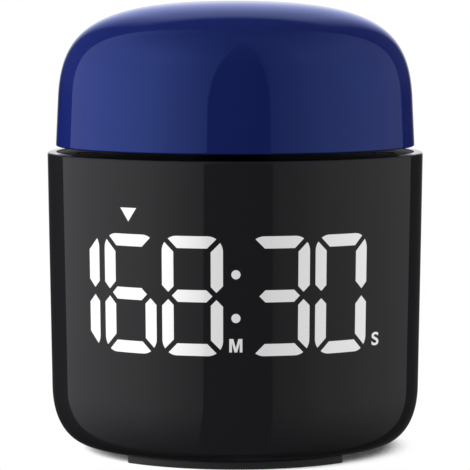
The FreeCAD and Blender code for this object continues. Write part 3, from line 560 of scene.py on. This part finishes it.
def finished(name, dark, light, grain, roughness, metallic=0.0, relief=0.0, level=0.5):
    """Mottled material with a relief, in mm, that follows the same grain."""
    made, tree, shader, noise = mottled(name, dark, light, grain)
    if relief:
        bump = add(tree, "ShaderNodeBump", {"Height": noise, "Strength": 0.4, "Distance": relief * MM})
        tree.links.new(bump.outputs["Normal"], shader.inputs["Normal"])
    shader.inputs["Roughness"].default_value = roughness
    shader.inputs["Metallic"].default_value = metallic
    shader.inputs["Specular IOR Level"].default_value = level
    return made


def painted(finish, *nodes):
    """Gives solids a finish on their own material slots."""
    for node in nodes:
        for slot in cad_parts[node].material_slots:
            slot.material = finish


# White ABS, moulded matt: an even off-white that spreads the chips' light.
white_abs = finished("white_moulded_abs", "#d8d8d6", "#e6e6e4", grain=0.67, roughness=0.5, relief=0.01)
painted(white_abs, "display_reflector")

# Milky acrylic, moulded smooth: nearly white, with soft clouds and a light gloss.
painted(finished("milky_acrylic", "#e4e6ea", "#f2f3f6", grain=1.67, roughness=0.3), "segment_diffusers")

# Solder resist, poured on woven glass: deep green, half glossy, with the weave just felt.
painted(finished("solder_resist_on_glass_fibre", "#0f4a2b", "#166238", grain=1.43, roughness=0.35,
                 relief=0.02), "display_board", "knob_board", "rear_board")

# Cast clear resin over the phosphor: pale yellow and wet-looking.
painted(finished("clear_led_resin", "#f4efc4", "#fbf7d8", grain=0.4, roughness=0.15), "display_leds")

# Pressed epoxy: charcoal and dull, with the fine grit of its filler.
painted(finished("moulded_epoxy", "#1a1a1b", "#242425", grain=0.33, roughness=0.6, relief=0.01),
        "controller_chip", "board_headers", "sounder")

# ---- encoder, hub and switch -----------------------------------------------------------------
# The knob's shaft turns in a bushing held by a nut, and pushes a small plunger down on a
# coil spring. A plastic hub joins shaft and dome. The slide switch is a folded sheet box.

# Glass-filled nylon, moulded: dark green with the dull, streaked skin that its fibres give.
painted(finished("glass_filled_nylon", "#1b3a24", "#234a2e", grain=0.56, roughness=0.5, relief=0.01),
        "encoder_body")
painted(white_abs, "push_plunger")

# Brass, turned and nickel plated: bright grey, with the cutter's fine marks.
painted(finished("turned_nickel_plate", "#9c9fa2", "#b3b5b7", grain=0.5, roughness=0.3, metallic=1.0,
                 relief=0.008), "encoder_bushing", "encoder_nut", "encoder_shaft")

# Spring steel, drawn and nickel plated: warm bright metal with a smooth skin.
spring_nickel = finished("nickel_plated_spring_steel", "#b0aca4", "#c4c0b8", grain=0.83, roughness=0.25,
                         metallic=1.0, relief=0.005)
painted(spring_nickel, "return_spring")

# Acetal, moulded: black and waxy, with a soft broad shine.
painted(finished("black_acetal", "#1a1a1c", "#252527", grain=0.67, roughness=0.45, relief=0.01), "knob_hub")

# Tinned steel sheet, folded: pale grey with cloudy patches of tin.
painted(finished("tinned_steel_sheet", "#a3a6a8", "#b9bbbc", grain=1.1, roughness=0.3, metallic=1.0,
                 relief=0.008), "switch_body")

# ---- cells, contacts and tray ----------------------------------------------------------------
# Two cells lie side by side over the hatch, in a moulded tray that two screws hold down.
# Contacts of plated spring steel stand at both of their ends.

# Printed film shrunk on a steel can: grey with a slight metal glint, and no print.
painted(finished("printed_cell_sleeve", "#5d636b", "#6a7078", grain=2.0, roughness=0.3, metallic=0.4),
        "cell_left", "cell_right")
painted(spring_nickel, "front_contacts", "rear_contacts")

# ABS from a spark-eroded tool: an even fine texture of about 0.1 mm that kills the gloss.
spark_black = finished("spark_textured_abs", "#161617", "#222223", grain=0.11, roughness=0.55, relief=0.018)
painted(spark_black, "battery_tray")

# ---- deck and screws ---------------------------------------------------------------------------
# The deck closes the body under the dome. Its thin edge lies in the rim, four screws hold
# it from above, and screws of the same kind hold the tray, the display block and the hub.

# ABS from an etched tool: so low in gloss that the slot under the dome stays dark.
painted(finished("satin_black_abs", "#0b0b0b", "#111110", grain=0.67, roughness=0.34, level=0.003),
        "top_deck")

# Steel, cold-headed and zinc plated: mid grey and slightly frosted.
painted(finished("zinc_plated_steel", "#8f9296", "#a9acb0", grain=0.67, roughness=0.35, metallic=1.0,
                 relief=0.01), "tray_screws", "display_screws", "deck_screws", "hub_screws")

# ---- dome knob ------------------------------------------------------------------
# The grip that sets the time: one deep-blue gloss ABS moulding that stands clear of the
# body, hollow underneath, with a slightly rounded lower edge and one sweep from skirt
# to crown.
dome_low, dome_high = box_mm("dome_knob")
knob_base, knob_top, knob_radius = dome_low.z, dome_high.z, dome_high.x
skirt_height = 8.1
skirt_lean = 0.045            # inwards, per mm upwards
shoulder_handle = 11.5        # how far the crown's curve follows the skirt
crown_handle = 24.4           # and how far it follows the flat of the top
edge_round = 0.3
knob_wall = 2.0
ceiling_radius = 19.0         # flat part of the hollow's top
ceiling_drop = 3.6            # below the crown
room_steps = 96

skirt_top = knob_base + skirt_height
skirt_radius = knob_radius - skirt_lean * skirt_height
room_radius = skirt_radius - knob_wall
dome_skin = [(knob_radius - edge_round, knob_base)]
dome_skin += arc((knob_radius - edge_round, knob_base + edge_round), edge_round,
                 start=-80, end=math.degrees(skirt_lean), count=5)
dome_skin += bezier([(skirt_radius, skirt_top),
                     (skirt_radius - skirt_lean * shoulder_handle, skirt_top + shoulder_handle),
                     (crown_handle, knob_top), (0, knob_top)], count=64)
dome = turned("dome_knob_gloss", [(0, knob_base)] + dome_skin, turn_steps)
room = turned("room", [(0, knob_base - 1), (room_radius, knob_base - 1), (room_radius, skirt_top),
                       (ceiling_radius, knob_top - ceiling_drop), (0, knob_top - ceiling_drop)], room_steps)
cut(dome, [room])
polished(dome, dome_skin)

# Blue ABS, moulded in a mirror-polished tool. The pigment is dense, so the blue stays dark
# and clean, and even the mirrored studio takes on a blue cast.
gloss_blue, shader = mirror_moulded("gloss_blue_abs", "#13216a", "#15236d", ior=1.9)
shader.inputs["Specular IOR Level"].default_value = 0.9
shader.inputs["Specular Tint"].default_value = (0.24, 0.37, 1.0, 1.0)
dome.data.materials.clear()
dome.data.materials.append(gloss_blue)
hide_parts("dome_knob")
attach(dome, "knob")

# ---- foot, cover and switch -----------------------------------------------------------
# Matte pieces that keep their solid's shape, with their sharp edges slightly broken as a
# mould leaves them: the rubber foot, glued on, and two pieces of black ABS, the cell cover
# that hooks into the shell with two tongues and the switch's finger piece.


def softened(node, name, finish, body, width):
    """Puts a merged copy of a solid in its place, with small bevels on its edges."""
    work = bmesh.new()
    work.from_mesh(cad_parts[node].data)
    bmesh.ops.remove_doubles(work, verts=work.verts, dist=1e-6)
    bmesh.ops.dissolve_limit(work, angle_limit=math.radians(1), verts=work.verts, edges=work.edges)
    piece = shaped(name, work)
    bevel = piece.modifiers.new("edges", "BEVEL")
    bevel.width = width * MM
    bevel.segments = 2
    bevel.limit_method = "ANGLE"
    bevel.angle_limit = math.radians(40)
    bevel.use_clamp_overlap = True
    bpy.context.view_layer.update()
    baked(piece)
    piece.data.shade_smooth()
    piece.data.set_sharp_from_angle(angle=math.radians(35))
    piece.data.materials.clear()
    piece.data.materials.append(finish)
    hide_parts(node)
    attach(piece, body)


# Silicone rubber, moulded: dull dark grey with a fine grain that scatters light.
foot_rubber = finished("moulded_silicone_rubber", "#242427", "#323236", grain=0.25, roughness=0.55,
                       relief=0.023)
softened("foot", "foot_rubber", foot_rubber, "housing", width=0.12)
softened("battery_door", "battery_cover", spark_black, "battery_cover", width=0.1)
softened("switch_slider", "switch_finger_piece", spark_black, "switch", width=0.08)

# ---- floor ----------------------------------------------------------------------------------
# A sheet of white paper under the timer. Its painted shade comes from how much of the sky a spot
# still sees towards the left, where the light comes from, so it falls to the right.
floor_half = 3000
shade_reach = 300             # pieces further off than this throw no shade
shade_lean = -0.42            # tilt of the sky that counts, towards the left
dark_below, clear_above = 0.06, 0.29
shade_from, shade_to = 8, 17  # between these places the shade goes from deep to soft
deep, soft = 1.9, 0.7

work = bmesh.new()
work.faces.new([work.verts.new((x * floor_half * MM, y * floor_half * MM, 0))
                for x, y in ((-1, -1), (1, -1), (1, 1), (-1, 1))])
floor = shaped("floor", work)

# Paper, coated: a glow that is pure white in the open, with a painted contact shade that darkens
# softly to grey; from below it isn't there, so that the underside can be looked at.
paper = bpy.data.materials.new("white_paper")
paper.use_nodes = True
tree = paper.node_tree
tree.nodes.clear()
tilt = add(tree, "ShaderNodeCombineXYZ", {"X": shade_lean, "Y": 0.0, "Z": 1.0})
open_sky = add(tree, "ShaderNodeAmbientOcclusion", {"Normal": tilt.outputs[0], "Distance": shade_reach * MM},
               samples=16)
seen_sky = add(tree, "ShaderNodeMapRange",
               {"Value": open_sky.outputs["AO"], "From Min": dark_below, "From Max": clear_above})
where = add(tree, "ShaderNodeTexCoord").outputs["Object"]
sideways = add(tree, "ShaderNodeSeparateXYZ", {"Vector": where}).outputs["X"]
depth = add(tree, "ShaderNodeMapRange", {"Value": sideways, "From Min": shade_from * MM,
                                         "From Max": shade_to * MM, "To Min": deep, "To Max": soft})
painted_shade = add(tree, "ShaderNodeMath", {0: seen_sky.outputs["Result"], 1: depth.outputs["Result"]},
            operation="POWER")
# The glow's colour is the painted contact shade.
glow = add(tree, "ShaderNodeEmission", {"Color": painted_shade.outputs[0]})
clear = add(tree, "ShaderNodeBsdfTransparent")
under = add(tree, "ShaderNodeNewGeometry").outputs["Backfacing"]
both = add(tree, "ShaderNodeMixShader", {0: under, 1: glow.outputs[0], 2: clear.outputs[0]})
add(tree, "ShaderNodeOutputMaterial", {"Surface": both.outputs[0]})
floor.data.materials.append(paper)
floor.visible_glossy = False
floor.visible_diffuse = False

# ---- light ------------------------------------------------------------------------------------
# A plain studio: one wide soft box on the left, a dimmer one on the right, a pale wall
# behind and nothing in front. Gloss mirrors those shapes, soft shading gets their spill,
# and the backdrop is white.
studio = bpy.data.worlds.new("studio")
bpy.context.scene.world = studio
studio.use_nodes = True
air = studio.node_tree
air.nodes.clear()

# A heading of 0 degrees is towards the camera and 90 to the right; a climb of 90 is straight up.
direction = add(air, "ShaderNodeTexCoord").outputs["Generated"]
aim = add(air, "ShaderNodeSeparateXYZ", {"Vector": direction}).outputs
to_front = add(air, "ShaderNodeMath", {0: aim["Y"], 1: -1.0}, operation="MULTIPLY").outputs[0]
heading = add(air, "ShaderNodeMath", {0: aim["X"], 1: to_front}, operation="ARCTAN2").outputs[0]
climb = add(air, "ShaderNodeMath", {0: aim["Z"]}, operation="ARCSINE").outputs[0]


def curve_of(angle, span, stops):
    """Brightness or colour by angle, from stops in degrees; the angle runs from -span to span."""
    place = add(air, "ShaderNodeMapRange",
                {"Value": angle, "From Min": math.radians(-span), "From Max": math.radians(span)})
    ramp = add(air, "ShaderNodeValToRGB", {"Fac": place.outputs["Result"]})
    marked = []
    for degrees, level in stops:
        colour = level if isinstance(level, tuple) else (level, level, level)
        marked.append((0.5 + degrees / span / 2, (*colour, 1)))
    return graded(ramp, marked)


def side_of(normal, blur=0.005):
    """One on the side of a plane through the timer that its normal points to, and nought beyond it."""
    off = add(air, "ShaderNodeVectorMath", {0: direction, 1: normal}, operation="DOT_PRODUCT")
    step = add(air, "ShaderNodeMapRange",
               {"Value": off.outputs["Value"], "From Min": -blur, "From Max": blur})
    return step.outputs["Result"]


def patch(light, *shares):
    """One patch of light: its level by one angle, times its level by the other and its edges."""
    for share in shares:
        light = add(air, "ShaderNodeMath", {0: light, 1: share}, operation="MULTIPLY").outputs[0]
    return light


# The two soft boxes: how bright by heading, how bright by climb, and their four upright edges.
boxes = curve_of(heading, 180, [
    (-140, 0.30), (-128, 0.34), (-117, 0.40), (-106, 0.46), (-90, 0.50), (-75, 0.50), (-58, 0.46),
    (-48, 0.39), (-41, 0.335), (-28, 0.25), (-17, 0.17), (17, 0.04), (24, 0.10), (29, 0.135),
    (42, 0.175), (56, 0.26), (88, 0.33), (106, 0.29), (118, 0.25), (136, 0.16)])
box_height = curve_of(climb, 90, [
    (-70, 0.02), (-57, 0.08), (-40, 0.24), (-25, 0.5), (-10, 0.82), (-4, 1.0), (10, 1.0), (25, 0.9),
    (40, 0.85), (47, 0.74), (54, 0.54), (61, 0.41), (66, 0.29), (71, 0.2), (76, 0.12), (83, 0.03),
    (90, 0.0)])
left_box = patch(boxes, box_height, side_of((-0.941, 0.306, 0.148)), side_of((-0.646, -0.756, 0.109)))
right_box = patch(boxes, box_height, side_of((0.924, 0.378, 0.053)), side_of((0.713, -0.701, 0.0)))

# The wall behind: brightest near the table, cool higher up, with soft sides.
wall_height = curve_of(climb, 90, [
    (-90, 0.02), (-5, 0.02), (0, 0.78), (4, 0.88), (8, 0.88), (12, 0.73), (16, 0.64), (20, 0.56),
    (28, 0.46), (36, 0.37), (41, 0.32), (45, 0.15), (48.5, 0.0)])
wall = patch(wall_height, side_of((-0.963, 0.224, 0.152), blur=0.1),
             side_of((0.966, 0.197, 0.165), blur=0.1))
wall_tone = curve_of(climb, 90, [
    (4, (1.0, 1.0, 1.0)), (8.8, (0.97, 1.06, 1.36)), (21.6, (0.96, 1.07, 1.54)), (36, (1.0, 1.03, 1.15))])
wall_light = add(air, "ShaderNodeVectorMath", {0: wall_tone, 1: wall}, operation="MULTIPLY").outputs[0]

# The dark of the room, by heading, and its few paler parts: low and high at the back, and overhead.
seen = curve_of(heading, 180, [
    (-150, 0.012), (-128, 0.03), (-60, 0.08), (60, 0.08), (128, 0.02), (150, 0.02)])
low_back = patch(curve_of(heading, 180, [(-175, 0.023), (-150, 0.0), (150, 0.0), (175, 0.03)]),
                 curve_of(climb, 90, [(-4, 1.0), (1, 0.0)]))
high_back = patch(curve_of(heading, 180, [(-140, 0.035), (-115, 0.0), (115, 0.0), (140, 0.03)]),
                  curve_of(climb, 90, [(-2, 0.0), (5, 1.0)]))
ceiling = curve_of(climb, 90, [(30, 0.0), (52, 0.02), (68, 0.04), (76, 0.055), (90, 0.07)])
for light in (low_back, high_back, ceiling, left_box, right_box):
    seen = add(air, "ShaderNodeMath", {0: seen, 1: light}, operation="ADD").outputs[0]
mirrored = add(air, "ShaderNodeVectorMath", {0: wall_light, 1: seen}, operation="ADD").outputs[0]

# The spill that lights colours from within: mostly from the sides and from behind.
spill_strength = 4.0
spill = curve_of(heading, 180, [
    (-180, 1.6), (-140, 1.8), (-120, 1.9), (-105, 1.6), (-90, 0.85), (-75, 0.55), (-60, 0.62),
    (-45, 0.5), (-30, 0.2), (-15, 0.04), (30, 0.04), (45, 0.16), (60, 0.55), (75, 0.35), (90, 0.05),
    (105, 0.4), (120, 1.3), (140, 1.8), (180, 1.7)])
spill_height = curve_of(climb, 90, [
    (-70, 0.02), (-57, 0.15), (-40, 0.35), (-25, 0.6), (-10, 0.9), (-4, 1.0), (12, 1.0), (25, 0.78),
    (38, 0.45), (50, 0.22), (65, 0.1), (90, 0.03)])
fill = patch(spill, spill_height, spill_strength)

# Inputs 0, 6 and 7 of a colour mix are its share, its first and its second colour.
path = add(air, "ShaderNodeLightPath").outputs
lighting = add(air, "ShaderNodeMix", {0: path["Is Glossy Ray"], 6: fill, 7: mirrored},
               data_type="RGBA").outputs[2]
shown = add(air, "ShaderNodeMix", {0: path["Is Camera Ray"], 6: lighting, 7: (1, 1, 1, 1)}, data_type="RGBA")
glow = add(air, "ShaderNodeBackground", {"Color": shown.outputs[2]})
add(air, "ShaderNodeOutputWorld", {"Surface": glow.outputs[0]})
bpy.context.scene.view_settings.view_transform = "Standard"
